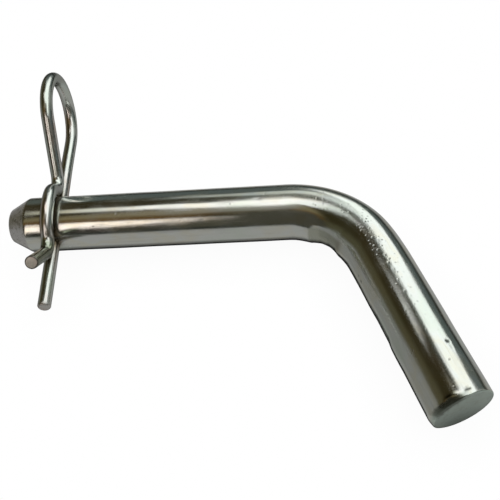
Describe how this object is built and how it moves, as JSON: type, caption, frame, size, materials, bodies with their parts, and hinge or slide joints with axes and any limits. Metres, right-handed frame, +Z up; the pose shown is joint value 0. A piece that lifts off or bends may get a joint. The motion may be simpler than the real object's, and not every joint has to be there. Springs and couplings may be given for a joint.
{
  "type": "hitch pin lock",
  "caption": "Bent round steel hitch pin with a coned nose and a cross hole, locked by a one-wire spring clip whose spring leg snaps over the shank.",
  "frame": {"origin": "centre of the flat end of the pin's nose, on the shank's axis", "axes": "+X along the shank from the nose to the bend, +Y towards the clip's eye with the handle turning off towards -Y, +Z up, square to the plane of the bend"},
  "size_m": [0.1275, 0.1129, 0.0345],
  "materials": {
    "plated_pin_steel": "drawn steel bar with bright zinc plating, faint yellow and bronze tint, fine pits and die marks",
    "plated_spring_wire": "round spring wire with bright zinc plating"
  },
  "bodies": {
    "pin": {"hitch_pin": "plated_pin_steel"},
    "clip": {"clip_straight_leg": "plated_spring_wire"},
    "clip_spring": {"clip_spring_leg": "plated_spring_wire"}
  },
  "joints": [
    {"name": "clip_withdraw", "type": "slide", "parent": "pin", "child": "clip", "axis": [-0.0523, 0.9973, 0.0523], "range_m": [0, 0.045], "deforming": ["clip_spring_leg"]},
    {"name": "clip_spread", "type": "hinge", "parent": "clip", "child": "clip_spring", "pos_m": [0.01034, 0.04437, 0.01384], "axis": [-0.9986, -0.0523, -0.0027], "range_deg": [0, 8], "stiffness_Nm_per_rad": 39, "springref_deg": -2.86}
  ]
}
